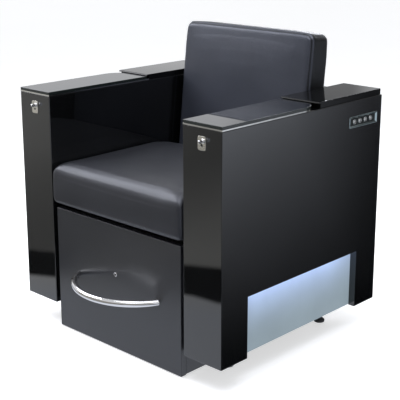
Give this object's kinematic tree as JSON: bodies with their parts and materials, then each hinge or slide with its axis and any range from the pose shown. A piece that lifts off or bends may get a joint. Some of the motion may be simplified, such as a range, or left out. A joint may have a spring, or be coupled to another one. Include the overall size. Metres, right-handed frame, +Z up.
{
  "type": "pedicure spa chair",
  "caption": "Lacquered armchair with swivelling arm tops over storage trays, lit side notches and a drawer that holds a foot basin.",
  "frame": {"origin": "floor level, under the middle of the chair's outline in plan", "axes": "+Z up, the sitter faces -Y, +X to the right as seen from the front"},
  "size_m": [0.841, 0.826, 0.9182],
  "materials": {
    "black_lacquer": "high-gloss black lacquer on fibreboard",
    "black_board": "plain black board",
    "black_glass": "polished black glass",
    "bright_steel": "brushed stainless steel",
    "zinc_steel": "zinc-plated steel",
    "chrome": "polished chrome",
    "led_aluminium": "extruded aluminium",
    "frosted_acrylic": "frosted acrylic, lit from its top edge",
    "basin_acrylic": "glossy white sanitary acrylic",
    "black_plastic": "satin black plastic",
    "rubber": "dark grey rubber",
    "seat_leather": "smooth blue-grey leather",
    "back_leather": "smooth blue-grey leather"
  },
  "bodies": {
    "frame": {"arm_shell_left": "black_lacquer", "arm_bottom_left": "black_board", "foot_front_left": "rubber", "foot_rear_left": "rubber", "storage_tray_left": "black_plastic", "light_panel_left": "frosted_acrylic", "led_profile_left": "led_aluminium", "pivot_post_left": "zinc_steel", "rear_cap_left": "black_lacquer", "lock_plate_left": "bright_steel", "slide_outer_left": "zinc_steel", "arm_shell_right": "black_lacquer", "arm_bottom_right": "black_board", "foot_front_right": "rubber", "foot_rear_right": "rubber", "storage_tray_right": "black_plastic", "light_panel_right": "frosted_acrylic", "led_profile_right": "led_aluminium", "pivot_post_right": "zinc_steel", "rear_cap_right": "black_lacquer", "lock_plate_right": "bright_steel", "slide_outer_right": "zinc_steel", "control_bezel": "chrome", "control_plate": "black_glass", "control_box": "black_plastic", "seat_deck": "black_board", "rear_panel": "black_lacquer", "rear_shelf": "black_lacquer", "cable_gland": "black_plastic", "seat_cushion": "seat_leather", "back_cushion": "back_leather", "back_board": "black_board"},
    "drawer": {"drawer_front": "black_lacquer", "drawer_side_left": "black_lacquer", "drawer_side_right": "black_lacquer", "drawer_floor": "black_board", "drawer_back": "black_board", "handle_bar": "chrome", "foot_basin": "basin_acrylic", "basin_drain": "chrome", "whirl_pump": "black_plastic", "castor_fork_left": "zinc_steel", "castor_fork_right": "zinc_steel", "slide_inner_left": "zinc_steel", "slide_inner_right": "zinc_steel"},
    "lock_cylinder": {"drawer_lock": "chrome"},
    "slide_middle_left": {"slide_middle_left": "zinc_steel"},
    "castor_left": {"castor_wheel_left": "rubber"},
    "top_left": {"swivel_plate_left": "bright_steel", "swivel_top_left": "black_glass"},
    "lever_left": {"lock_lever_left": "chrome"},
    "slide_middle_right": {"slide_middle_right": "zinc_steel"},
    "castor_right": {"castor_wheel_right": "rubber"},
    "top_right": {"swivel_plate_right": "bright_steel", "swivel_top_right": "black_glass"},
    "lever_right": {"lock_lever_right": "chrome"},
    "button_1": {"button_1": "bright_steel"},
    "button_2": {"button_2": "bright_steel"},
    "button_3": {"button_3": "bright_steel"},
    "button_4": {"button_4": "bright_steel"}
  },
  "joints": [
    {"name": "drawer_slide", "type": "slide", "parent": "frame", "child": "drawer", "axis": [0, -1, 0], "range_m": [0, 0.42]},
    {"name": "slide_middle_left_travel", "type": "slide", "parent": "frame", "child": "slide_middle_left", "axis": [0, -1, 0], "range_m": [0, 0.21]},
    {"name": "slide_middle_right_travel", "type": "slide", "parent": "frame", "child": "slide_middle_right", "axis": [0, -1, 0], "range_m": [0, 0.21]},
    {"name": "castor_left_spin", "type": "hinge", "parent": "drawer", "child": "castor_left", "pos_m": [-0.2, -0.215, 0.022], "axis": [1, 0, 0], "continuous": true},
    {"name": "castor_right_spin", "type": "hinge", "parent": "drawer", "child": "castor_right", "pos_m": [0.2, -0.215, 0.022], "axis": [1, 0, 0], "continuous": true},
    {"name": "drawer_lock_turn", "type": "hinge", "parent": "drawer", "child": "lock_cylinder", "pos_m": [0, -0.301, 0.241], "axis": [0, -1, 0], "range_deg": [0, 90]},
    {"name": "top_left_swivel", "type": "hinge", "parent": "frame", "child": "top_left", "pos_m": [-0.35, 0.0375, 0.7405], "axis": [0, 0, -1], "range_deg": [0, 90]},
    {"name": "top_right_swivel", "type": "hinge", "parent": "frame", "child": "top_right", "pos_m": [0.35, 0.0375, 0.7405], "axis": [0, 0, 1], "range_deg": [0, 90]},
    {"name": "lever_left_turn", "type": "hinge", "parent": "frame", "child": "lever_left", "pos_m": [-0.342, -0.305, 0.699], "axis": [0, -1, 0], "range_deg": [0, 90]},
    {"name": "lever_right_turn", "type": "hinge", "parent": "frame", "child": "lever_right", "pos_m": [0.356, -0.305, 0.699], "axis": [0, -1, 0], "range_deg": [0, 90]},
    {"name": "button_1_press", "type": "slide", "parent": "frame", "child": "button_1", "axis": [-1, 0, 0], "range_m": [0, 0.002], "stiffness_N_per_m": 300},
    {"name": "button_2_press", "type": "slide", "parent": "frame", "child": "button_2", "axis": [-1, 0, 0], "range_m": [0, 0.002], "stiffness_N_per_m": 300},
    {"name": "button_3_press", "type": "slide", "parent": "frame", "child": "button_3", "axis": [-1, 0, 0], "range_m": [0, 0.002], "stiffness_N_per_m": 300},
    {"name": "button_4_press", "type": "slide", "parent": "frame", "child": "button_4", "axis": [-1, 0, 0], "range_m": [0, 0.002], "stiffness_N_per_m": 300}
  ],
  "couplings": [
    {"joint": "slide_middle_left_travel", "follows": "drawer_slide", "ratio": 0.5},
    {"joint": "slide_middle_right_travel", "follows": "drawer_slide", "ratio": 0.5}
  ]
}
